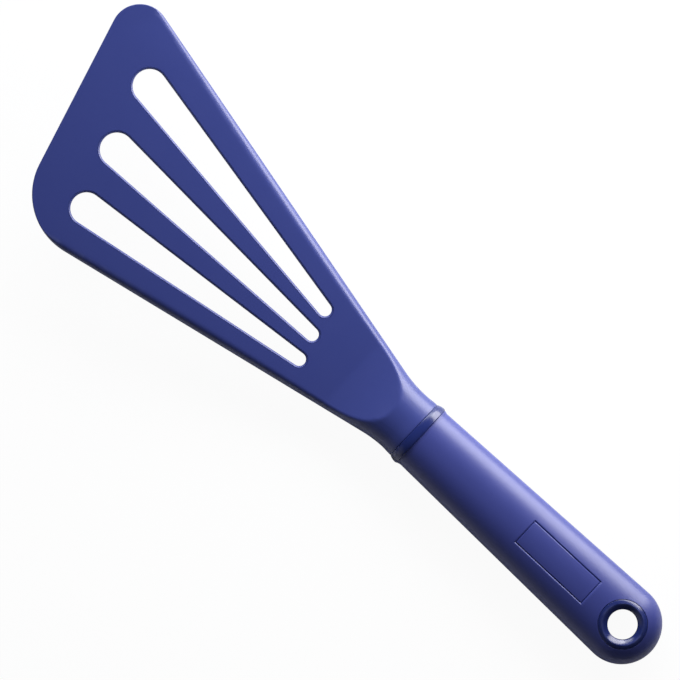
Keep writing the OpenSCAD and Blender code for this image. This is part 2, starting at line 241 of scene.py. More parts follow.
def add_sheet(
    bm: BMesh, columns: int, rows: int, place: Callable[[int, int], Vector]
) -> list[list[BMVert]]:
    """Adds a grid and moves each of its points to its place.

    Args:
        bm: Mesh that takes the grid.
        columns: Number of points along the first direction.
        rows: Number of points along the second direction.
        place: Gives a point's place from its column and row.

    Returns:
        The points, by column and then row.
    """
    made = bmesh.ops.create_grid(bm, x_segments=columns - 1, y_segments=rows - 1, size=1.0)
    points: list[list[Optional[BMVert]]] = [[None] * rows for _ in range(columns)]
    for vert in made["verts"]:
        column = round((vert.co.x + 1.0) / 2.0 * (columns - 1))
        row = round((vert.co.y + 1.0) / 2.0 * (rows - 1))
        points[column][row] = vert
        vert.co = place(column, row)
    return points


def close_up(bm: BMesh, reach: float = 0.002) -> None:
    """Merges a mesh's seams and poles and points its faces outwards.

    Args:
        bm: Mesh to close.
        reach: Distance below which points become one.
    """
    bmesh.ops.remove_doubles(bm, verts=bm.verts, dist=reach)
    bmesh.ops.dissolve_degenerate(bm, edges=bm.edges, dist=reach)
    bmesh.ops.recalc_face_normals(bm, faces=bm.faces)


def turned_mesh(
    columns: int, rows: int, place: Callable[[float, int], Vector], reach: float = 0.002
) -> BMesh:
    """Makes a closed shell that goes all the way round an axis.

    Args:
        columns: Number of steps round the axis.
        rows: Number of points along the outline.
        place: Gives a point's place from its angle and its row.
        reach: Distance below which points become one.

    Returns:
        The mesh.
    """
    bm = bmesh.new()
    add_sheet(bm, columns + 1, rows, lambda c, r: place(360.0 * (c % columns) / columns, r))
    close_up(bm, reach)
    return bm


def eye_mesh(columns: int, rows: Sequence[CrownRow], side: int, reach: float = 0.002) -> BMesh:
    """Makes a closed shell round the hanging eye.

    Args:
        columns: Number of steps round the eye.
        rows: Outline of the shell, each row with its radius first.
        side: 1 for the upper side, -1 for the lower one.
        reach: Distance below which points become one.

    Returns:
        The mesh.
    """

    def place(turn: float, row: int) -> Vector:
        """Returns a point of the shell."""
        radius, level, over = rows[row]
        x, y = cos(turn), sin(turn)
        height = level if over is None else GRIP.crown(level * x, level * y) + over
        return Vector((radius * x, radius * y, side * height))

    return turned_mesh(columns, len(rows), place, reach)


def fill(bm: BMesh, edges: Sequence[object], up: float) -> list:
    """Fills closed loops of edges with triangles.

    Args:
        bm: Mesh that has the edges.
        edges: The loops' edges, outline and holes together.
        up: 1 for a face that looks up, -1 for one that looks down.

    Returns:
        The new faces and edges.
    """
    return bmesh.ops.triangle_fill(bm, use_beauty=True, edges=edges, normal=(0.0, 0.0, up))["geom"]


def only(items: Sequence[object], kind: type) -> list:
    """Returns the items of one kind, such as the faces among an operator's results."""
    return [item for item in items if isinstance(item, kind)]


def mesh_of(bm: BMesh, name: str) -> bpy.types.Mesh:
    """Turns a working mesh into mesh data.

    Args:
        bm: Working mesh, which this call uses up.
        name: Name of the data.

    Returns:
        The mesh data.
    """
    mesh = bpy.data.meshes.new(name)
    bm.to_mesh(mesh)
    bm.free()
    return mesh


def add_object(name: str, data: bpy.types.ID) -> bpy.types.Object:
    """Adds an object to the scene.

    Args:
        name: Name of the object.
        data: Its mesh, lamp or camera data.

    Returns:
        The object.
    """
    made = bpy.data.objects.new(name, data)
    bpy.context.scene.collection.objects.link(made)
    return made


@dataclass(frozen=True)
class Piece:
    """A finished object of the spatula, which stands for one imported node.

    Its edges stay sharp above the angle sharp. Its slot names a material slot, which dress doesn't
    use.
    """

    name: str
    node: str
    slot: str
    sharp: float

    def dress(self, bm: BMesh, finish: Material) -> None:
        """Turns a mesh into the finished object in the shared frame, riding on the body.

        Args:
            bm: Closed mesh, which this call uses up.
            finish: Material of the whole piece.
        """
        bmesh.ops.scale(bm, verts=bm.verts, vec=(MM, MM, MM))
        bmesh.ops.translate(bm, verts=bm.verts, vec=eye_centre())
        mesh = mesh_of(bm, self.name)
        mesh.shade_smooth()
        mesh.set_sharp_from_angle(angle=math.radians(self.sharp))
        mesh.materials.append(finish)
        made = add_object(self.name, mesh)
        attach(made, "root")
        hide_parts(self.node)
        LOG.info("%s: %d points", self.name, len(mesh.vertices))


def cut_with(bm: BMesh, cutters: Sequence[BMesh]) -> BMesh:
    """Cuts closed meshes out of another one.

    Args:
        bm: Mesh that is cut, which this call uses up.
        cutters: Closed meshes to take away, used up as well.

    Returns:
        The mesh that is left.
    """
    made: list[bpy.types.Object] = []
    for number, source in enumerate([bm, *cutters]):
        name = f"cut_{number}"
        made.append(add_object(name, mesh_of(source, name)))
    for cutter in made[1:]:
        step = made[0].modifiers.new(cutter.name, "BOOLEAN")
        step.operation = "DIFFERENCE"
        step.solver = "EXACT"
        step.object = cutter
    left = bmesh.new()
    left.from_object(made[0], bpy.context.evaluated_depsgraph_get())
    for blank in made:
        mesh = blank.data
        bpy.data.objects.remove(blank)
        bpy.data.meshes.remove(mesh)
    return left


# Finishes


class Nodes:
    """Short calls to add and join the nodes of one tree."""

    def __init__(self, tree: NodeTree) -> None:
        """Keeps the tree."""
        self.tree = tree

    def feed(self, target: NodeSocket, value: object) -> None:
        """Links an input to another node's output, or gives it a fixed value.

        Args:
            target: The input.
            value: The output or the fixed value.
        """
        if isinstance(value, NodeSocket):
            self.tree.links.new(value, target)
        else:
            target.default_value = value

    def add(
        self, kind: str, inputs: Optional[Mapping[str | int, object]] = None, **settings: object
    ) -> Node:
        """Adds a node.

        Args:
            kind: The node's type name without its prefix.
            inputs: Output or fixed value for each input, by the input's name or number.
            **settings: Values for the node's own properties.

        Returns:
            The node.
        """
        node = self.tree.nodes.new("ShaderNode" + kind)
        for name, value in settings.items():
            setattr(node, name, value)
        for name, value in (inputs or {}).items():
            self.feed(node.inputs[name], value)
        return node

    def math(self, operation: str, first: NodeSocket, second: NodeSocket | float) -> NodeSocket:
        """Adds a sum of two values and returns its result."""
        return self.add("Math", {0: first, 1: second}, operation=operation).outputs[0]

    def noise(self, scale: NodeSocket | float, detail: float) -> NodeSocket:
        """Adds a noise that follows the object and returns its value between 0 and 1."""
        place = self.add("TexCoord").outputs["Object"]
        sockets = {"Detail": detail, "Vector": place, "Scale": scale}
        return self.add("TexNoise", sockets).outputs["Fac"]

    def blend(self, share: NodeSocket, first: object, second: object) -> NodeSocket:
        """Adds a mixture of two colours and returns its result."""
        sockets = {"Factor": share, "A": first, "B": second}
        return self.add("Mix", sockets, data_type="RGBA").outputs["Result"]

    def mix_shaders(self, share: NodeSocket, first: Node, second: Node) -> Node:
        """Adds a mixture of two shaders and returns its node."""
        return self.add("MixShader", {"Fac": share, 1: first.outputs[0], 2: second.outputs[0]})


class Group(Nodes):
    """A shared shader group."""

    def __init__(self, name: str, inputs: Mapping[str, object], outputs: Sequence[str]) -> None:
        """Starts the group.

        Args:
            name: The group's name.
            inputs: Default of each input, a number or a colour.
            outputs: Names of the outputs; the one called Colour is a colour, the rest are numbers.
        """
        super().__init__(bpy.data.node_groups.new(name, "ShaderNodeTree"))
        socket = self.tree.interface.new_socket
        for label, value in inputs.items():
            kind = "NodeSocketFloat" if isinstance(value, float) else "NodeSocketColor"
            socket(label, in_out="INPUT", socket_type=kind).default_value = value
        for label in outputs:
            kind = "NodeSocketColor" if label == "Colour" else "NodeSocketFloat"
            socket(label, in_out="OUTPUT", socket_type=kind)
        self.entry = self.tree.nodes.new("NodeGroupInput").outputs
        self.leave = self.tree.nodes.new("NodeGroupOutput").inputs


def pigment_group() -> NodeTree:
    """Builds the group that varies a moulded colour, broad clouds with fine mottling."""
    defaults = {
        "Colour": (0.1, 0.1, 0.1, 1.0),
        "Deep Colour": (0.05, 0.05, 0.05, 1.0),
        "Clouds": 0.2,
        "Mottling": 0.1,
    }
    group = Group("Pigment", defaults, ["Colour"])
    entry = group.entry
    clouds = group.math("MULTIPLY", group.noise(scale=45.0, detail=2.0), entry["Clouds"])
    mottling = group.math("MULTIPLY", group.noise(scale=1600.0, detail=3.0), entry["Mottling"])
    share = group.math("ADD", clouds, mottling)
    group.feed(group.leave["Colour"], group.blend(share, entry["Colour"], entry["Deep Colour"]))
    return group.tree


def grain_group() -> NodeTree:
    """Builds the group for the mould's fine grain: its height, and the gloss that it leaves."""
    defaults = {"Grains per Metre": 3000.0, "Roughness": 0.4, "Roughness Spread": 0.1}
    group = Group("Mould Grain", defaults, ["Roughness", "Height"])
    entry = group.entry
    centred = group.math("SUBTRACT", group.noise(scale=120.0, detail=3.0), 0.5)
    change = group.math("MULTIPLY", centred, entry["Roughness Spread"])
    group.feed(group.leave["Roughness"], group.math("ADD", entry["Roughness"], change))
    group.feed(group.leave["Height"], group.noise(entry["Grains per Metre"], 2.0))
    return group.tree


def rub_group() -> NodeTree:
    """Builds the group that polishes edges where hands, pans and hooks rub."""
    defaults = {"Colour": (0.1, 0.1, 0.1, 1.0), "Roughness": 0.4, "Edge": 0.0, "Amount": 0.3}
    rubbed_colour = (0.16, 0.18, 0.36, 1.0)
    polish = 0.4
    group = Group("Rubbed Edge", defaults, ["Colour", "Roughness"])
    entry = group.entry
    spots = {"Value": group.noise(scale=260.0, detail=4.0), "From Min": 0.35, "From Max": 0.7}
    patches = group.add("MapRange", spots).outputs["Result"]
    worn = group.math("MULTIPLY", entry["Edge"], patches)
    share = group.math("MULTIPLY", worn, entry["Amount"])
    group.feed(group.leave["Colour"], group.blend(share, entry["Colour"], rubbed_colour))
    smoother = group.math("SUBTRACT", entry["Roughness"], group.math("MULTIPLY", share, polish))
    group.feed(group.leave["Roughness"], smoother)
    return group.tree


class FinishGroups:
    """The shader groups, built once for all finishes."""

    def __init__(self) -> None:
        """Builds the groups."""
        self.pigment = pigment_group()
        self.grain = grain_group()
        self.rub = rub_group()


class MouldSkin(Enum):
    """How the mould was cut, as grains per metre and their depth in metres."""

    SATIN = (8000.0, 0.0000025)
    POLISHED = (900.0, 0.0000008)
    PLAIN = (1800.0, 0.000004)


@dataclass(frozen=True)
class MouldedFinish:
    """One moulded plastic finish."""

    name: str
    colour: Colour
    deep_colour: Colour
    roughness: float
    roughness_spread: float
    skin: MouldSkin
    specular: float = 0.5
    refraction: float = 1.52
    clouds: float = 0.25
    mottling: float = 0.12
    rub: float = 0.2

    def build(self, groups: FinishGroups) -> Material:
        """Builds the material.

        Args:
            groups: The shared shader groups.

        Returns:
            The material.
        """
        material = bpy.data.materials.new(self.name)
        material.use_nodes = True
        nodes = Nodes(material.node_tree)
        grains, depth = self.skin.value
        pigment = {
            "Colour": (*self.colour, 1.0),
            "Deep Colour": (*self.deep_colour, 1.0),
            "Clouds": self.clouds,
            "Mottling": self.mottling,
        }
        grain = {
            "Grains per Metre": grains,
            "Roughness": self.roughness,
            "Roughness Spread": self.roughness_spread,
        }
        moulded = nodes.add("Group", grain, node_tree=groups.grain).outputs
        rub = {
            "Colour": nodes.add("Group", pigment, node_tree=groups.pigment).outputs["Colour"],
            "Roughness": moulded["Roughness"],
            "Edge": nodes.add("Attribute", attribute_name="edge").outputs["Fac"],
            "Amount": self.rub,
        }
        worn = nodes.add("Group", rub, node_tree=groups.rub).outputs
        bump = nodes.add("Bump", {"Strength": 1.0, "Distance": depth, "Height": moulded["Height"]})
        surface = {
            "Base Color": worn["Colour"],
            "Roughness": worn["Roughness"],
            "Normal": bump.outputs["Normal"],
            "Specular IOR Level": self.specular,
            "IOR": self.refraction,
        }
        for name, value in surface.items():
            nodes.feed(material.node_tree.nodes["Principled BSDF"].inputs[name], value)
        return material


GRIP_SATIN = MouldedFinish(
    "grip_satin_nylon", colour=(0.033, 0.043, 0.197), deep_colour=(0.025, 0.033, 0.156),
    roughness=0.4, roughness_spread=0.06, skin=MouldSkin.SATIN, specular=0.6,
)
BLADE_SATIN = MouldedFinish(
    "blade_satin_nylon", colour=(0.029, 0.041, 0.182), deep_colour=(0.022, 0.032, 0.151),
    roughness=0.37, roughness_spread=0.08, skin=MouldSkin.SATIN, specular=0.6,
)
TRIM_GLOSS = MouldedFinish(
    "trim_gloss_nylon", colour=(0.01, 0.018, 0.104), deep_colour=(0.008, 0.013, 0.083),
    roughness=0.24, roughness_spread=0.03, skin=MouldSkin.POLISHED, specular=0.65, mottling=0.05,
)
CORE_PLAIN = MouldedFinish(
    "core_plain_nylon", colour=(0.02, 0.028, 0.14), deep_colour=(0.015, 0.021, 0.11),
    roughness=0.5, roughness_spread=0.1, skin=MouldSkin.PLAIN,
)


# The spatula's own pieces


@dataclass
class GripSleeve:
    """The satin outer moulding of the grip, open for the eye's lips and the badge plate."""

    columns: int = 192
    end_rows: int = 30
    straight_rows: int = 100
    flare_rows: int = 6
    edge_rows: int = 4
    inner_rows: int = 12
    edge_round: float = 0.2
    eye_hole_radius: float = 9.4
    eye_rim_round: float = 0.25
    eye_rim_angle: float = 75.0
    eye_rim_outer: Pair = (0.325, 0.15)
    eye_columns: int = 180
    eye_floor: float = 4.0
    cutter_top: float = 12.0
    pocket_length: float = 33.5
    pocket_width: float = 10.75
    pocket_x: float = 33.7
    pocket_y: float = -0.6
    pocket_floor: float = 7.1
    pocket_steps: tuple[int, int] = (70, 24)
    pocket_rim: tuple[Pair, ...] = (
        (0.0, -0.4), (0.08, -0.3), (0.18, -0.19), (0.3, -0.09),
        (0.42, -0.02), (0.52, 0.03), (0.8, 0.42),
    )
    merge: float = 0.0005
    piece: Piece = Piece("grip_shell", "grip_sleeve", "grip_satin", 30.0)

    def end_row(self, angle: float, inset: float) -> tuple[float, float, float]:
        """Returns a row of the rounded end.

        Args:
            angle: Angle from the start of the round, 90 at the pole.
            inset: Distance inside the outer surface.

        Returns:
            The row's station, half width and half thickness.
        """
        half_w, half_t = GRIP.rear_width / 2 - inset, GRIP.rear_thickness / 2 - inset
        return GRIP.end_x - half_w * sin(angle), half_w * cos(angle), half_t * cos(angle)

    def straight_row(self, x: float, grow: float) -> tuple[float, float, float]:
        """Returns a row of the tapered part, which grows mostly at its sides."""
        raised = grow * GRIP.flare_top_share if grow > 0.0 else grow
        return x, GRIP.half_width(x) + grow, GRIP.half_thickness(x) + raised

    def rows(self) -> list[tuple[float, float, float]]:
        """Returns the rows from the outer pole over the front edge to the inner pole."""
        start, end = GRIP.front_x - GRIP.flare_length, GRIP.front_x - self.edge_round
        rows = [self.end_row(angle, 0.0) for angle in spread(90.0, 0.0, self.end_rows)]
        for x in spread(GRIP.end_x, start, self.straight_rows)[1:]:
            rows.append(self.straight_row(x, 0.0))
        for x in spread(start, end, self.flare_rows)[1:]:
            rows.append(self.straight_row(x, GRIP.flare * ease((x - start) / GRIP.flare_length)))
        for back, drop in rounding(self.edge_round, self.edge_rows)[1:]:
            rows.append(self.straight_row(GRIP.front_x - back, GRIP.flare - drop))
        for x in spread(GRIP.front_x, GRIP.end_x, self.inner_rows):
            rows.append(self.straight_row(x, -GRIP.wall))
        return rows + [self.end_row(a, GRIP.wall) for a in spread(0.0, 90.0, self.inner_rows)[1:]]

    def seat_cutter(self, side: int) -> BMesh:
        """Returns the body that opens the sleeve for one lip of the eye.

        Args:
            side: 1 for the upper lip, -1 for the lower one.

        Returns:
            The closed cutter.
        """
        hole = self.eye_hole_radius
        outer, rise = hole + self.eye_rim_outer[0], self.eye_rim_outer[1]
        rows: list[CrownRow] = [(0.0, self.eye_floor, None), (hole, self.eye_floor, None)]
        for down, out in rounding(self.eye_rim_round, steps=7, end=self.eye_rim_angle):
            rows.append((hole + out, hole + out, -down))
        rows += [(outer, outer, rise), (outer, self.cutter_top, None), (0.0, self.cutter_top, None)]
        return eye_mesh(self.eye_columns, rows, side)

    def pocket_point(self, step: int, grow: float) -> Vector:
        """Returns a flat point of the pocket's outline, from the pocket's middle.

        Args:
            step: Step round the outline.
            grow: Distance outside the pocket.

        Returns:
            The point.
        """
        half_l, half_w = self.pocket_length / 2 + grow, self.pocket_width / 2 + grow
        corners = [(-half_l, -half_w), (half_l, -half_w), (half_l, half_w), (-half_l, half_w)]
        steps, side = self.pocket_steps * 2, 0
        while step >= steps[side]:
            step -= steps[side]
            side += 1
        start, end = corners[side], corners[(side + 1) % 4]
        return Vector([mix(a, b, step / steps[side]) for a, b in zip(start, end)])

    def pocket_cutter(self) -> BMesh:
        """Returns the body that opens the pocket for the badge plate, with sloping rims."""
        floor, top, around = self.pocket_floor, self.cutter_top, 2 * sum(self.pocket_steps)
        rim = [(grow, 0.0, over) for grow, over in self.pocket_rim]
        last = self.pocket_rim[-1][0]
        rows = [(None, floor, None), (0.0, floor, None), *rim, (last, top, None), (None, top, None)]

        def place(column: int, row: int) -> Vector:
            """Returns a point of the cutter."""
            grow, level, over = rows[row]
            x, y = self.pocket_x, self.pocket_y
            if grow is not None:
                flat = self.pocket_point(column % around, grow)
                x, y = x + flat.x, y + flat.y
            return Vector((x, y, level if over is None else GRIP.crown(x, y) + over))

        bm = bmesh.new()
        add_sheet(bm, around + 1, len(rows), place)
        close_up(bm)
        return bm

    def mesh(self) -> BMesh:
        """Builds the sleeve with its openings.

        Returns:
            The closed mesh.
        """
        rows = self.rows()

        def place(turn: float, row: int) -> Vector:
            """Returns a point of the shell."""
            x, half_w, half_t = rows[row]
            return GRIP.section(x, turn, half_w, half_t)

        bm = turned_mesh(self.columns, len(rows), place)
        bm = cut_with(bm, [self.seat_cutter(1), self.seat_cutter(-1), self.pocket_cutter()])
        close_up(bm, self.merge)
        return bm


@dataclass
class BadgePlate:
    """The bare plate in the grip's upper face, with its two pegs."""

    length: float = 33.4
    width: float = 10.65
    x: float = 33.7
    y: float = -0.6
    floor: float = 7.2
    drop: float = 0.1
    rim: tuple[Pair, ...] = ((0.0, 0.42), (0.306, 0.06))
    rim_width: float = 0.36
    long_steps: int = 60
    short_steps: int = 20
    peg_radius: float = 1.2
    peg_length: float = 2.5
    peg_pitch: float = 20.0
    piece: Piece = Piece("badge_inlay", "badge_plate", "grip_satin", 40.0)

    def lines(self, size: float, steps: int) -> list[Pair]:
        """Returns the grid lines across one direction.

        Args:
            size: The plate's size in that direction.
            steps: Steps between the rims.

        Returns:
            Each line's place and its depth under the face.
        """
        half = size / 2
        rim = [(inside - half, depth) for inside, depth in self.rim]
        inner = [(x, 0.0) for x in spread(-half + self.rim_width, half - self.rim_width, steps)]
        return rim + inner + [(-x, depth) for x, depth in reversed(rim)]

    def mesh(self) -> BMesh:
        """Builds the plate from its upper face, whose rim is drawn down to the floor.

        Returns:
            The closed mesh.
        """
        along = self.lines(self.length, self.long_steps)
        across = self.lines(self.width, self.short_steps)

        def top(column: int, row: int) -> Vector:
            """Returns a point of the upper face."""
            (x, x_depth), (y, y_depth) = along[column], across[row]
            height = GRIP.crown(self.x + x, self.y + y) - max(x_depth, y_depth, self.drop)
            return Vector((self.x + x, self.y + y, height))

        bm = bmesh.new()
        add_sheet(bm, len(along), len(across), top)
        rim = [edge for edge in bm.edges if edge.is_boundary]
        wall = bmesh.ops.extrude_edge_only(bm, edges=rim)["geom"]
        for vert in only(wall, BMVert):
            vert.co.z = self.floor
        bmesh.ops.holes_fill(bm, edges=[edge for edge in bm.edges if edge.is_boundary])
        close_up(bm)
        size = {"radius1": self.peg_radius, "radius2": self.peg_radius, "depth": self.peg_length}
        for side in (-1, 1):
            peg = bmesh.ops.create_cone(bm, cap_ends=True, segments=32, **size)
            middle = (self.x + side * self.peg_pitch / 2, self.y, self.floor - self.peg_length / 2)
            bmesh.ops.translate(bm, verts=peg["verts"], vec=middle)
        return bm


@dataclass
class Collar:
    """The glossy bead between grip and neck, flat underneath where it lies on the table."""

    inner_inset: float = 2.3
    joint: float = 0.01
    columns: int = 224
    bead: tuple[Pair, ...] = (
        (0.0, 0.4), (0.05, 0.52), (0.15, 0.62), (0.3, 0.69), (0.55, 0.73), (0.9, 0.75),
        (1.3, 0.73), (1.7, 0.68), (2.1, 0.6), (2.45, 0.5), (2.8, 0.38), (3.1, 0.26),
        (3.35, 0.15), (3.52, 0.06), (3.62, -0.03), (3.66, -0.15),
    )
    bead_rise: float = 0.75
    rise_share: float = 0.9
    foot: float = 0.5
    floor_round: float = 0.06
    piece: Piece = Piece("collar_bead", "collar_ring", "trim_gloss", 50.0)

    def mesh(self) -> BMesh:
        """Builds the ring.

        Returns:
            The closed mesh.
        """
        start = GRIP.front_x + self.joint
        half_w, half_t = GRIP.front_width / 2, GRIP.front_thickness / 2
        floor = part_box("collar_ring")[0].z / MM - eye_centre().z / MM
        inner = [(self.bead[-1][0], -self.inner_inset), (0.0, -self.inner_inset)]
        rows = [*self.bead, *inner, self.bead[0]]

        def place(turn: float, row: int) -> Vector:
            """Returns a point of the ring."""
            along, rise = rows[row]
            lift = rise
            if rise > 0.0:
                lift *= self.rise_share if turn <= 180.0 else 1.0 + self.foot / self.bead_rise
            point = GRIP.section(start + along, turn, half_w + rise, half_t + lift)
            point.z = soft_max(point.z, floor, self.floor_round)
            return point

        return turned_mesh(self.columns, len(rows), place)


@dataclass
class EyeHalf:
    """One half of the glossy hanging eye: a lip, and the walls of the tube behind it.

    Proud is how far the crest stands over the grip's crown, and drop how far the lip's edge lies
    under it. The funnel is the depth of the lip's roll into the bore.
    """

    piece: Piece
    side: int
    proud: float
    drop: float
    slope: float
    funnel: float
    fullness: float
    lap: float
    floor: float
    skirt: float
    bore: float = 5.7
    lip: float = 9.3
    crest: float = 7.9
    seat: float = 4.8
    tube: float = 7.2
    bevel: float = 0.05
    outer_rows: int = 14
    funnel_rows: int = 16
    funnel_angle: float = 84.0
    columns: int = 240
    rubbed: float = 0.9
    merge: float = 0.0005

    def rows(self) -> list[CrownRow]:
        """Returns the closed outline from the lip's outer edge over the crest, down and back."""
        rows: list[CrownRow] = [(self.lip, self.seat, None)]
        slope = 2.0 / self.slope
        for angle in spread(0.0, 90.0, self.outer_rows):
            radius = mix(self.crest, self.lip, max(cos(angle), 0.0) ** slope)
            rows.append((radius, radius, mix(-self.drop, self.proud, sin(angle) ** slope)))
        for angle in spread(0.0, self.funnel_angle, self.funnel_rows)[1:]:
            share = sin(angle)
            radius = max(mix(self.crest, self.bore - self.bevel, share), self.bore)
            sunk = 1.0 - oval(share, self.fullness)
            rows.append((radius, self.crest, self.proud - self.funnel * sunk))
        rows += [
            (self.bore, self.floor + self.bevel, None),
            (self.bore + self.bevel, self.floor, None),
            (self.lap, self.floor, None),
            (self.lap, self.skirt, None),
            (self.tube, self.skirt, None),
            (self.tube, self.seat, None),
        ]
        return rows + rows[:1]

    def mesh(self) -> BMesh:
        """Builds the half and marks its crest, which wears first.

        Returns:
            The closed mesh.
        """
        bm = eye_mesh(self.columns, self.rows(), self.side, self.merge)
        layer = bm.verts.layers.float.new("edge")
        for vert in bm.verts:
            away = abs(math.hypot(vert.co.x, vert.co.y) - self.crest) / self.rubbed
            vert[layer] = clamp(1.0 - away) if vert.co.z * self.side > 0.0 else 0.0
        return bm


# The upper lip is flatter, and laps over the tube of the lower half
UPPER_EYE = EyeHalf(
    Piece("eye_lip", "eyelet_ring", "trim_gloss", 50.0), side=1, proud=0.13, drop=0.05,
    slope=1.6, funnel=1.5, fullness=1.2, lap=6.5, floor=4.8, skirt=2.5,
)
LOWER_EYE = EyeHalf(
    Piece("eye_bush", "eyelet_bush", "trim_gloss", 50.0), side=-1, proud=0.4, drop=0.16,
    slope=2.0, funnel=2.6, fullness=2.0, lap=6.45, floor=-4.7, skirt=-2.4,
)


@dataclass(frozen=True)
class BladeSide:
    """One side of the blade: its straight edge, its front corner and its slot."""

    angle: float
    start: float
    corner_r: float
    slot_r: float
    slot_pitch: float


class Stretch(Enum):
    """Stretches of the blade's edge."""

    SIDE = "side"
    CORNER = "corner"
    FRONT = "front"


@dataclass
class BladeMoulding:
    """Blade, neck and tang in one moulding.

    Side 1 is the short side and -1 the long one; 0 is the middle slot, as wide as the long side's.
    """

    neck_width: float = 25.2
    neck_thickness: float = 16.0
    root_extra: float = 0.5
    root_length: float = 5.0
    side_radius: float = 48.0
    scoop_start: float = 11.0
    scoop_length: float = 20.5
    scoop_radius: float = 50.0
    scoop_angle: float = 24.0
    length: float = 176.9
    slant: float = 15.6
    short: BladeSide = BladeSide(11.77, NECK_X + 8.7, corner_r=24.8, slot_r=6.05, slot_pitch=23.9)
    long: BladeSide = BladeSide(12.83, NECK_X + 11.6, corner_r=11.0, slot_r=6.4, slot_pitch=25.8)
    tilt: float = 7.0
    root_t: float = 4.0
    tip_t: float = 1.3
    thin_power: float = 1.6
    parting_share: float = 0.8
    blade_power: float = 1.9
    narrow_r: float = 2.55
    slot_front_gap: float = 23.3
    slot_rear_x: float = 52.3
    slot_rear_pitch: float = 10.1
    slot_rear_y: float = -0.25
    rim_round: float = 0.9
    under_round: float = 0.3
    under_share: float = 0.15
    under_drop: float = 1.03
    edge_round: float = 0.3
    scoop_reach: float = 0.35
    flank_reach: float = 0.9
    crease_reach: float = 0.12
    neck_flank: float = 3.0
    flank_blend: float = 8.0
    corner_blend: float = 30.0
    corner_turn: float = 20.0
    join_x: float = 150.0
    row_blend_end: float = 148.0
    tang_length: float = 62.0
    tang_width: float = 13.0
    tang_tail_width: float = 10.0
    tang_thickness: float = 7.0
    tang_root: float = 0.6
    window_backs: Pair = (19.0, 41.0)
    window_half: float = 3.3
    window_r: float = 2.2
    worn_depth: float = 0.15
    worn_reach: float = 0.5
    worn_least: float = 0.01
    worn_x: float = 200.0
    worn_fade: float = 60.0
    merge: float = 0.0008
    seam: float = 0.002
    cut_reach: float = 0.0005
    across: int = 56
    under_cuts: int = 18
    under_margin: float = 6.0
    edge_steps: tuple[int, ...] = (44, 40, 40, 34, 52)
    slot_steps: tuple[int, ...] = (56, 32, 36)
    rear_rows: tuple[Pair, ...] = ((0.0, 0.18), (0.03, 0.1), (0.1, 0.04), (0.25, 0.0))
    neck_runs: tuple[tuple[float, float, int], ...] = (
        (NECK_X + 0.8, 116.0, 12), (116.4, 124.0, 26), (124.5, 143.0, 32), (143.8, 150.0, 6)
    )
    # How far inside the outline each row of the side lies: above in widths of the flank, below
    # in millimetres, at the neck and at the blade
    flank_rows: tuple[float, ...] = (
        2.4, 1.9, 1.6, 1.4, 1.24, 1.12, 1.0, 0.9, 0.8,
        0.68, 0.55, 0.42, 0.3, 0.2, 0.12, 0.05, 0.012, 0.0,
    )
    neck_under: tuple[float, ...] = (0.04, 0.2, 0.6, 1.3, 2.3, 3.6, 5.2)
    blade_under: tuple[float, ...] = (0.02, 0.08, 0.2, 0.4, 0.7, 1.2, 2.0)
    front_rows: tuple[float, ...] = (2.6, 1.9, 1.3, 0.9, 0.6)
    front_under: Pair = (0.6, 2.0)
    slot_rows: tuple[Pair, ...] = ((1.1, 0.0), (0.75, 0.0))
    slot_under: tuple[Pair, ...] = ((0.6, 0.0), (1.0, 0.0))
    piece: Piece = Piece("blade_and_neck", "slotted_blade", "blade_satin", 45.0)

    def __post_init__(self) -> None:
        """Works out the places that the other sums start from."""
        self.neck_hw, self.neck_ht = self.neck_width / 2, self.neck_thickness / 2
        self.scoop_x = NECK_X + self.scoop_start
        self.centre_x = self.scoop_x + self.scoop_radius * sin(self.scoop_angle)
        self.centre_z = self.neck_ht + self.scoop_radius * cos(self.scoop_angle)
        self.crease_x = self.scoop_x + self.scoop_length
        self.crease_z = self.scoop_z(self.crease_x)
        self.under_start_x = NECK_X + self.root_length
        self.under_join_x = self.crease_x + self.scoop_length / 2
        self.front_x = NECK_X + self.length
        self.sides = {1: self.short, 0: self.long, -1: self.long}
        self.corners = {side: self.corner_centre(side) for side in (1, -1)}
        self.tip_x = self.corners[-1].x + self.long.corner_r
        self.side_rows = len(self.flank_rows) + len(self.neck_under)

    def corner_centre(self, side: int) -> Vector:
        """Returns the centre of a front corner's round, where side edge and front edge meet.

        Args:
            side: 1 or -1.

        Returns:
            The flat point.
        """
        edge = self.sides[side]
        slope = tan(edge.angle)
        edge_x, edge_y = heading(self.slant)
        foot = self.neck_hw - edge.start * slope - edge.corner_r / cos(edge.angle)
        reach = self.front_x * edge_x - edge.corner_r - side * edge_y * foot
        x = reach / (edge_x + side * edge_y * slope)
        return Vector((x, side * (foot + x * slope)))

    def corner_start(self, side: int) -> float:
        """Returns the station where a side's straight edge ends in its front corner."""
        edge = self.sides[side]
        return self.corners[side].x - edge.corner_r * sin(edge.angle)

    def extra(self, x: float) -> float:
        """Returns what the neck's root adds to the half width and half thickness."""
        return self.root_extra / 2 * (1.0 - ease((x - NECK_X) / self.root_length))

    def flatness(self, x: float) -> float:
        """Returns how far the section has turned from the grip's oval into the blade's."""
        return ease((x - self.scoop_x) / self.scoop_length)

    def half_width(self, x: float, side: int) -> float:
        """Returns the half width of neck and blade.

        Args:
            x: Station.
            side: 1 or -1.

        Returns:
            The distance from the middle line to that side's outline.
        """
        edge = self.sides[side]
        along = x - (edge.start - self.side_radius * tan(edge.angle / 2))
        if along < 0.0:
            width = self.neck_hw
        elif along < self.side_radius * sin(edge.angle):
            width = self.neck_hw + self.side_radius - math.sqrt(self.side_radius**2 - along**2)
        else:
            width = self.neck_hw + (x - edge.start) * tan(edge.angle)
        return width + self.extra(x)

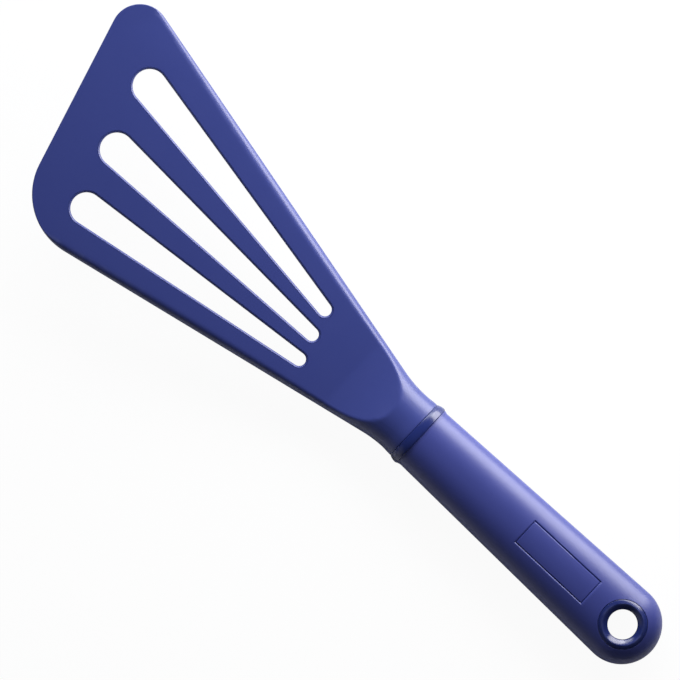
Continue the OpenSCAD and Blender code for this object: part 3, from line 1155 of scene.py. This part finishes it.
    def scoop_z(self, x: float) -> float:
        """Returns the height of the scoop's hollow at a station."""
        rise = self.scoop_radius**2 - (x - self.centre_x) ** 2
        return self.centre_z - math.sqrt(max(rise, 0.0))

    def face_z(self, x: float) -> float:
        """Returns the height of the blade's flat upper face at a station."""
        return self.crease_z + (x - self.crease_x) * tan(self.tilt)

    def top_z(self, x: float) -> float:
        """Returns the height of scoop and face, with a soft crease between them."""
        return soft_max(self.scoop_z(min(x, self.centre_x)), self.face_z(x), self.crease_reach)

    def thickness(self, x: float) -> float:
        """Returns the blade's thickness at a station."""
        share = clamp((x - self.crease_x) / (self.tip_x - self.crease_x))
        return mix(self.root_t, self.tip_t, share**self.thin_power)

    def parting_z(self, x: float) -> float:
        """Returns the height of the widest line.

        Args:
            x: Station.

        Returns:
            The height.
        """
        if x > self.crease_x:
            return self.face_z(x) - self.parting_share * self.thickness(x)
        rise = self.crease_z - self.parting_share * self.root_t
        return rise * ease((x - self.under_start_x) / (self.crease_x - self.under_start_x))

    def under_z(self, x: float) -> float:
        """Returns the height of the underside at a station, which leaves the neck whole."""
        share = ease((x - self.under_start_x) / (self.under_join_x - self.under_start_x))
        return mix(-self.neck_ht * self.under_drop, self.face_z(x) - self.thickness(x), share)

    def crown(self, x: float, inside: float, width: float) -> float:
        """Returns the oval body's height over its widest line, at a distance inside the outline."""
        power = mix(GRIP.fullness, self.blade_power, self.flatness(x))
        return (self.neck_ht + self.extra(x)) * oval(clamp((width - inside) / width), power)

    def upper(self, x: float, inside: float, width: float) -> float:
        """Returns the height of the upper surface at a distance inside the outline."""
        reach = mix(self.scoop_reach, self.flank_reach, self.flatness(x))
        return soft_min(self.parting_z(x) + self.crown(x, inside, width), self.top_z(x), reach)

    def lower(self, x: float, inside: float, width: float) -> float:
        """Returns the height of the lower surface at a distance inside the outline."""
        reach = min(self.under_round, self.under_share * self.thickness(x))
        return soft_max(self.parting_z(x) - self.crown(x, inside, width), self.under_z(x), reach)

    def flank(self, x: float) -> float:
        """Returns the width of the sloping flank, which spaces the rows.

        Args:
            x: Station.

        Returns:
            The width.
        """
        if x < self.crease_x:
            return self.neck_flank
        drop = self.parting_share * self.thickness(x) / self.neck_ht
        share = 1.0 - oval(drop, self.blade_power)
        width = (self.half_width(x, 1) + self.half_width(x, -1)) / 2
        return mix(self.neck_flank, width * share, ease((x - self.crease_x) / self.flank_blend))

    def inset(self, x: float, row: int) -> float:
        """Returns how far inside the outline a row of the side lies.

        Args:
            x: Station.
            row: Row of the side, from the top.

        Returns:
            The distance.
        """
        if row < len(self.flank_rows):
            return self.flank(x) * self.flank_rows[row]
        share = ease((x - self.scoop_x) / (self.row_blend_end - self.scoop_x))
        below = row - len(self.flank_rows)
        return mix(self.neck_under[below], self.blade_under[below], share)

    def side_point(self, x: float, side: int, row: int) -> Vector:
        """Returns a point of the side.

        Args:
            x: Station.
            side: 1 or -1.
            row: Row of the side, from the top.

        Returns:
            The point.
        """
        inside, width = self.inset(x, row), self.half_width(x, side)
        surface = self.upper if row < len(self.flank_rows) else self.lower
        return Vector((x, side * (width - inside), surface(x, inside, width)))

    def neck_ring(self, x: float, shrink: float) -> list[Vector]:
        """Returns a closed section of the neck.

        Args:
            x: Station.
            shrink: How far the section is drawn in, for the rounded rear edge.

        Returns:
            The points, left side first, over the underside to the right side and back on top.
        """
        left = [self.side_point(x, 1, row) for row in range(self.side_rows)]
        right = [self.side_point(x, -1, row) for row in reversed(range(self.side_rows))]
        points = []
        # Each side is followed by the steps across to the other one
        for side, start, end, surface in (
            (left, left[-1], right[0], self.lower),
            (right, right[-1], left[0], self.upper),
        ):
            points += side
            for y in spread(start.y, end.y, self.across)[1:-1]:
                width = self.half_width(x, 1 if y > 0 else -1)
                points.append(Vector((x, y, surface(x, width - abs(y), width))))
        for point in points:
            point.y *= 1.0 - shrink / self.neck_hw
            point.z *= 1.0 - shrink / self.neck_ht
        return points

    def add_neck(self, bm: BMesh, rim: BMLayerItem) -> None:
        """Adds the neck and the scoop, from the rear face to the join with the blade.

        Args:
            bm: Mesh that takes them.
            rim: Layer that marks the edges to fill: 1 on top, 2 underneath.
        """
        rings = [self.neck_ring(NECK_X + along, shrink) for along, shrink in self.rear_rows]
        for run in self.neck_runs:
            rings += [self.neck_ring(x, 0.0) for x in spread(*run)]
        count = len(rings[0])
        points = add_sheet(bm, count + 1, len(rings), lambda c, r: rings[r][c % count])
        for column, line in enumerate(points):
            if self.side_rows - 1 <= column <= self.side_rows + self.across - 1:
                line[-1][rim] = 2
            elif column >= count - self.across or column == 0:
                line[-1][rim] = 1
        bm.faces.new([line[0] for line in points[:-1]])

    def outline(self) -> list[tuple[Stretch, float, int]]:
        """Returns the walk along the blade's edge from the left join to the right join.

        Returns:
            Kind of stretch, the way along it, and the side that it belongs to.
        """
        left, short, front, long, right = self.edge_steps
        starts, ends = self.corner_start(1), self.corner_start(-1)
        walk = [(Stretch.SIDE, x, 1) for x in spread(self.join_x, starts, left)]
        walk += [(Stretch.CORNER, share, 1) for share in spread(0.0, 1.0, short)[1:]]
        walk += [(Stretch.FRONT, share, 1) for share in spread(0.0, 1.0, front)[1:-1]]
        walk += [(Stretch.CORNER, share, -1) for share in spread(1.0, 0.0, long)[:-1]]
        return walk + [(Stretch.SIDE, x, -1) for x in spread(ends, self.join_x, right)]

    def edge_profile(self, x: float) -> list[Pair]:
        """Returns the front edge's rows.

        Args:
            x: Station that gives the heights.

        Returns:
            Distance inside the outline and height, for each row of the side.
        """
        top, deep = self.face_z(x), self.thickness(x)
        rows = [(inside, top) for inside in self.front_rows]
        rows += [(inside, top - down) for inside, down in rounding(self.edge_round, steps=7)]
        walls = len(self.flank_rows) - len(rows)
        middle = top - self.parting_share * deep
        rows += [(0.0, z) for z in spread(top - self.edge_round, middle, walls)[1:]]
        low = top - deep
        lip = rounding(self.under_share * deep, steps=4, start=10.0)
        rows += [(inside, low + up) for up, inside in lip]
        return rows + [(inside, low) for inside in self.front_under]

    def edge_point(self, step: tuple[Stretch, float, int], row: int) -> Vector:
        """Returns a point of the blade's edge.

        Args:
            step: One entry of the outline.
            row: Row of the side.

        Returns:
            The point.
        """
        kind, value, side = step
        if kind is Stretch.SIDE:
            return self.side_point(value, side, row)
        if kind is Stretch.FRONT:
            forward = heading(self.slant)
            start, end = (self.corners[s] + self.sides[s].corner_r * forward for s in (1, -1))
            spot, inward, share = start.lerp(end, value), -forward, 1.0
        else:
            square = side * (90.0 + self.sides[side].angle)
            turn = mix(square, self.slant, value)
            swept = abs(turn - square)
            share = ease(swept / self.corner_blend)
            spot = self.corners[side] + self.sides[side].corner_r * heading(turn)
            sideways = Vector((0.0, -side))
            inward = sideways.lerp(-heading(turn), ease(swept / self.corner_turn)).normalized()
        x_side = self.corner_start(side)
        inside = mix(self.inset(x_side, row), self.edge_profile(spot.x)[row][0], share)
        flat = spot + inward * inside
        side_z = self.side_point(x_side, side, row).z - self.face_z(x_side)
        scaled = side_z * self.thickness(flat.x) / self.thickness(x_side)
        edge_z = self.edge_profile(flat.x)[row][1] - self.face_z(flat.x)
        return Vector((flat.x, flat.y, self.face_z(flat.x) + mix(scaled, edge_z, share)))

    def slot_walk(self, side: int) -> list[tuple[Vector, Vector, float]]:
        """Returns the walk round a slot.

        Args:
            side: 1 or -1 for a side's slot, 0 for the middle one.

        Returns:
            At each step, the round's centre, the direction outwards, and the round's radius.
        """
        wide_r, slope = self.sides[side].slot_r, tan(self.slant)
        gap_x = self.front_x - self.slot_front_gap / cos(self.slant)
        middle = (self.half_width(gap_x, 1) - self.half_width(gap_x, -1)) / 2
        wide_y = middle + side * self.sides[side].slot_pitch
        narrow_y = self.slot_rear_y + side * self.slot_rear_pitch
        rear = Vector((NECK_X + self.slot_rear_x - narrow_y * slope, narrow_y))
        front = Vector((gap_x - wide_y * slope, wide_y))
        run = front - rear
        along = math.degrees(math.atan2(run.y, run.x))
        turn = math.degrees(math.acos((self.narrow_r - wide_r) / run.length))
        wide_steps, narrow_steps, straight_steps = self.slot_steps
        wide_arc = spread(along - turn, along + turn, wide_steps)
        narrow_arc = spread(along + turn, along + 360.0 - turn, narrow_steps)
        walk = []
        for start, start_r, end, end_r, turns in (
            (front, wide_r, rear, self.narrow_r, wide_arc),
            (rear, self.narrow_r, front, wide_r, narrow_arc),
        ):
            walk += [(start, heading(angle), start_r) for angle in turns]
            for share in spread(0.0, 1.0, straight_steps)[1:-1]:
                radius = mix(start_r, end_r, share)
                walk.append((start.lerp(end, share), heading(turns[-1]), radius))
        return walk

    def slot_sheet(self, bm: BMesh, side: int) -> list[list[BMVert]]:
        """Adds a slot's wall with its rounded rims.

        Args:
            bm: Mesh that takes it.
            side: 1 or -1 for a side's slot, 0 for the middle one.

        Returns:
            The wall's points, by step round the slot and then row.
        """
        walk = self.slot_walk(side)
        upper = [*self.slot_rows, *rounding(self.rim_round, steps=8)]
        lower = [*rounding(self.under_round, steps=5, start=90.0, end=0.0), *self.slot_under]

        def place(column: int, row: int) -> Vector:
            """Returns a point of the slot's wall."""
            centre, outward, radius = walk[column % len(walk)]
            grow, depth = (upper + lower)[row]
            flat = centre + outward * (radius + grow)
            if row < len(upper):
                return Vector((flat.x, flat.y, self.face_z(flat.x) - depth))
            return Vector((flat.x, flat.y, self.face_z(flat.x) - self.thickness(flat.x) + depth))

        return add_sheet(bm, len(walk) + 1, len(upper) + len(lower), place)

    def fill_faces(self, bm: BMesh, rim: BMLayerItem) -> None:
        """Fills the blade's upper face and underside between edge, slots and neck.

        Args:
            bm: Mesh whose open edges are filled.
            rim: Layer that marks those edges.
        """
        for mark, up in ((1, 1.0), (2, -1.0)):
            edges = [e for e in bm.edges if e.is_boundary and all(v[rim] == mark for v in e.verts)]
            geom = fill(bm, edges, up)
        # The underside, filled last, is cut across so that it follows the blade as it thins
        start, end = self.join_x + self.under_margin, self.tip_x - self.under_margin
        for x in spread(start, end, self.under_cuts):
            faces = [face for face in only(geom, BMFace) if face.is_valid]
            near = {edge for face in faces for edge in face.edges}
            points = {vert for face in faces for vert in face.verts}
            cut = bmesh.ops.bisect_plane(
                bm,
                geom=[*points, *near, *faces],
                dist=self.cut_reach,
                plane_co=(x, 0.0, 0.0),
                plane_no=(1.0, 0.0, 0.0),
            )
            geom = cut["geom"]
            for vert in only(cut["geom_cut"], BMVert):
                if vert[rim] == 0:
                    vert.co.z = self.face_z(vert.co.x) - self.thickness(vert.co.x)

    def add_tang(self, bm: BMesh) -> None:
        """Adds the tang that the grip is moulded round, with its two lock windows.

        Args:
            bm: Mesh that takes it.
        """
        tail_r = self.tang_tail_width / 2
        tail_x = NECK_X - self.tang_length + tail_r
        root = Vector((NECK_X + self.tang_root, self.tang_width / 2))
        shares = spread(0.0, 1.0, steps=10)[:-1]
        sides = [(mix(root.x, tail_x, share), mix(root.y, tail_r, share)) for share in shares]
        outer = [Vector(point) for point in sides]
        tail = Vector((tail_x, 0.0))
        outer += [tail + tail_r * heading(turn) for turn in spread(90.0, 270.0, steps=24)]
        outer += [Vector((x, -y)) for x, y in reversed(sides)]
        loops = [outer]
        for back in self.window_backs:
            window = []
            for end in (1, -1):
                centre = Vector((NECK_X - back + end * self.window_half, 0.0))
                turns = spread(-90.0 * end, -90.0 * end + 180.0, steps=15)
                window += [centre + self.window_r * heading(turn) for turn in turns]
            loops.append(window)
        edges = []
        for loop in loops:
            ring = bmesh.ops.create_circle(bm, segments=len(loop), radius=1.0)["verts"]
            for flat, vert in zip(loop, ring):
                vert.co = (flat.x, flat.y, -self.tang_thickness / 2)
            edges += list({edge for vert in ring for edge in vert.link_edges})
        base = fill(bm, edges, -1.0)
        raised = bmesh.ops.extrude_face_region(bm, geom=only(base, BMFace), use_keep_orig=True)
        tops = only(raised["geom"], BMVert)
        bmesh.ops.translate(bm, verts=tops, vec=(0.0, 0.0, self.tang_thickness))

    def mark_edges(self, bm: BMesh) -> None:
        """Marks the blade's worn line: its front edge and the rims of the slots.

        Args:
            bm: Mesh that takes the marks.
        """
        layer = bm.verts.layers.float.new("edge")
        for vert in bm.verts:
            below = self.face_z(vert.co.x) - vert.co.z
            near = clamp(1.0 - abs(below - self.worn_depth) / self.worn_reach)
            front = clamp((vert.co.x - self.worn_x) / self.worn_fade)
            vert[layer] = near * front if below > self.worn_least else 0.0

    def mesh(self) -> BMesh:
        """Builds the moulding: neck, edge and slots, the faces between them, and the tang.

        Returns:
            The closed mesh.
        """
        bm = bmesh.new()
        rim = bm.verts.layers.int.new("rim")
        self.add_neck(bm, rim)
        walk = self.outline()
        edge = add_sheet(bm, len(walk), self.side_rows, lambda c, r: self.edge_point(walk[c], r))
        for sheet in (edge, *(self.slot_sheet(bm, side) for side in (1, 0, -1))):
            for line in sheet:
                line[0][rim], line[-1][rim] = 1, 2
        bmesh.ops.remove_doubles(bm, verts=bm.verts, dist=self.seam)
        self.fill_faces(bm, rim)
        self.add_tang(bm)
        close_up(bm, self.merge)
        self.mark_edges(bm)
        bm.verts.layers.int.remove(bm.verts.layers.int["rim"])
        return bm


# Studio


@dataclass(frozen=True)
class Lamp:
    """A soft box that faces the spatula.

    The azimuth is taken in the picture, anticlockwise from its right, and the elevation from the
    floor. Distance and size are metres, the power is watts. Mirrored says whether glossy surfaces
    mirror the lamp.
    """

    name: str
    azimuth: float
    elevation: float
    distance: float
    size: Pair
    power: float
    colour: Colour
    mirrored: bool = True


@dataclass
class Studio:
    """Pale floor, soft light and the camera straight above, turned as in the photograph."""

    picture_size: int = 680
    millimetres_per_pixel: float = 0.375
    eye_pixel: Pair = (622.74, 624.63)
    forward_pixel: Pair = (-0.73177335, -0.68154807)
    lens: float = 1600.0
    sensor: float = 36.0
    focus_height: float = 18.0
    clip: Pair = (0.1, 100.0)
    floor_half: float = 4.0
    floor_colour: tuple[float, ...] = (0.82, 0.82, 0.84, 1.0)
    floor_to_camera: float = 0.95
    floor_to_gloss: float = 0.05
    room_colour: tuple[float, ...] = (0.8, 0.86, 1.0, 1.0)
    room_strength: float = 0.05
    lamps: tuple[Lamp, ...] = (
        Lamp("side_wall", 36.0, 19.0, 0.25, (0.28, 0.19), 1.43, (1.0, 0.98, 1.0)),
        Lamp("far_wall", 92.0, 20.0, 0.65, (0.6, 0.3), 2.6, (0.98, 1.0, 1.0)),
        Lamp("far_fill", 92.0, 30.0, 0.65, (0.6, 0.3), 4.2, (0.98, 1.0, 1.0), mirrored=False),
        Lamp("near_wall", 227.0, 8.0, 1.0, (1.0, 0.25), 0.42, (0.95, 0.93, 1.0)),
        Lamp("left_wall", 210.0, 25.0, 1.0, (0.8, 0.4), 0.3, (0.95, 0.96, 1.0)),
        Lamp("ceiling", 150.0, 80.0, 1.0, (0.5, 0.4), 0.45, (1.0, 1.0, 1.0), mirrored=False),
    )

    def __post_init__(self) -> None:
        """Works out the picture's directions, scale and middle in the shared frame."""
        along_x, along_y = self.forward_pixel
        self.right = Vector((along_x, along_y, 0.0))
        self.up = Vector((-along_y, along_x, 0.0))
        self.pixel = self.millimetres_per_pixel * MM
        half, eye = self.picture_size / 2, eye_centre()
        aside, above = half - self.eye_pixel[0], self.eye_pixel[1] - half
        self.middle = Vector((eye.x, eye.y, 0.0))
        self.middle += self.right * aside * self.pixel + self.up * above * self.pixel
        self.middle.z = self.focus_height * MM

    def add_camera(self) -> None:
        """Adds the camera and makes it the scene's own."""
        data = bpy.data.cameras.new("camera")
        data.lens, data.sensor_width = self.lens, self.sensor
        data.clip_start, data.clip_end = self.clip
        camera = add_object("camera", data)
        rise = Vector((0.0, 0.0, self.picture_size * self.pixel * self.lens / self.sensor))
        turn = Matrix((self.right, self.up, Vector((0.0, 0.0, 1.0)))).transposed()
        camera.matrix_world = Matrix.Translation(self.middle + rise) @ turn.to_4x4()
        bpy.context.scene.camera = camera

    def add_lamp(self, lamp: Lamp) -> None:
        """Adds a lamp, which the camera doesn't see itself.

        Args:
            lamp: The lamp's place, size and light.
        """
        level = self.right * cos(lamp.azimuth) + self.up * sin(lamp.azimuth)
        towards = level * cos(lamp.elevation) + Vector((0.0, 0.0, sin(lamp.elevation)))
        data = bpy.data.lights.new(lamp.name, "AREA")
        data.shape = "RECTANGLE"
        data.size, data.size_y = lamp.size
        data.energy, data.color = lamp.power, lamp.colour
        made = add_object(lamp.name, data)
        made.location = self.middle + towards * lamp.distance
        made.rotation_mode = "QUATERNION"
        made.rotation_quaternion = towards.to_track_quat("Z", "Y")
        made.visible_camera, made.visible_glossy = False, lamp.mirrored

    def add_floor(self) -> None:
        """Adds the floor: white to the camera and clear from below."""
        material = bpy.data.materials.new("studio_floor")
        material.use_nodes = True
        material.node_tree.nodes.clear()
        nodes = Nodes(material.node_tree)
        path = nodes.add("LightPath").outputs
        to_camera = nodes.math("MULTIPLY", path["Is Camera Ray"], self.floor_to_camera)
        to_gloss = nodes.math("MULTIPLY", path["Is Glossy Ray"], self.floor_to_gloss)
        diffuse = nodes.add("BsdfDiffuse", {"Color": self.floor_colour})
        glow = nodes.add("Emission", {"Color": WHITE})
        shown = nodes.mix_shaders(nodes.math("ADD", to_camera, to_gloss), diffuse, glow)
        below = nodes.add("NewGeometry").outputs["Backfacing"]
        both = nodes.mix_shaders(below, shown, nodes.add("BsdfTransparent"))
        nodes.add("OutputMaterial", {"Surface": both.outputs["Shader"]})
        bm = bmesh.new()
        bmesh.ops.create_grid(bm, x_segments=8, y_segments=8, size=self.floor_half)
        mesh = mesh_of(bm, "floor")
        mesh.materials.append(material)
        floor = add_object("floor", mesh)

    def add_world(self) -> None:
        """Adds the room: white to the camera, dim overhead for everything else."""
        world = bpy.data.worlds.new("room")
        bpy.context.scene.world = world
        world.use_nodes = True
        world.node_tree.nodes.clear()
        nodes = Nodes(world.node_tree)
        room = nodes.add("Background", {"Color": self.room_colour, "Strength": self.room_strength})
        white = nodes.add("Background", {"Color": WHITE})
        both = nodes.mix_shaders(nodes.add("LightPath").outputs["Is Camera Ray"], room, white)
        nodes.add("OutputWorld", {"Surface": both.outputs["Shader"]})

    def build(self) -> None:
        """Builds the whole studio."""
        bpy.context.scene.view_settings.view_transform = "Standard"
        self.add_floor()
        self.add_world()
        for lamp in self.lamps:
            self.add_lamp(lamp)
        self.add_camera()


def main() -> None:
    """Builds the spatula's pieces and the studio in order."""
    logging.basicConfig(level=logging.INFO, format="%(name)s: %(message)s")
    groups = FinishGroups()
    blade, grip, trim = (kind.build(groups) for kind in (BLADE_SATIN, GRIP_SATIN, TRIM_GLOSS))
    for part, finish in (
        (BladeMoulding(), blade),
        (GripSleeve(), grip),
        (BadgePlate(), grip),
        (Collar(), trim),
        (UPPER_EYE, trim),
        (LOWER_EYE, trim),
    ):
        part.piece.dress(part.mesh(), finish)
    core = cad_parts["handle_core"]
    core.data.materials.clear()
    core.data.materials.append(CORE_PLAIN.build(groups))
    LOG.info("handle_core: carried over")

    Studio().build()


if __name__ == "__main__":
    main()
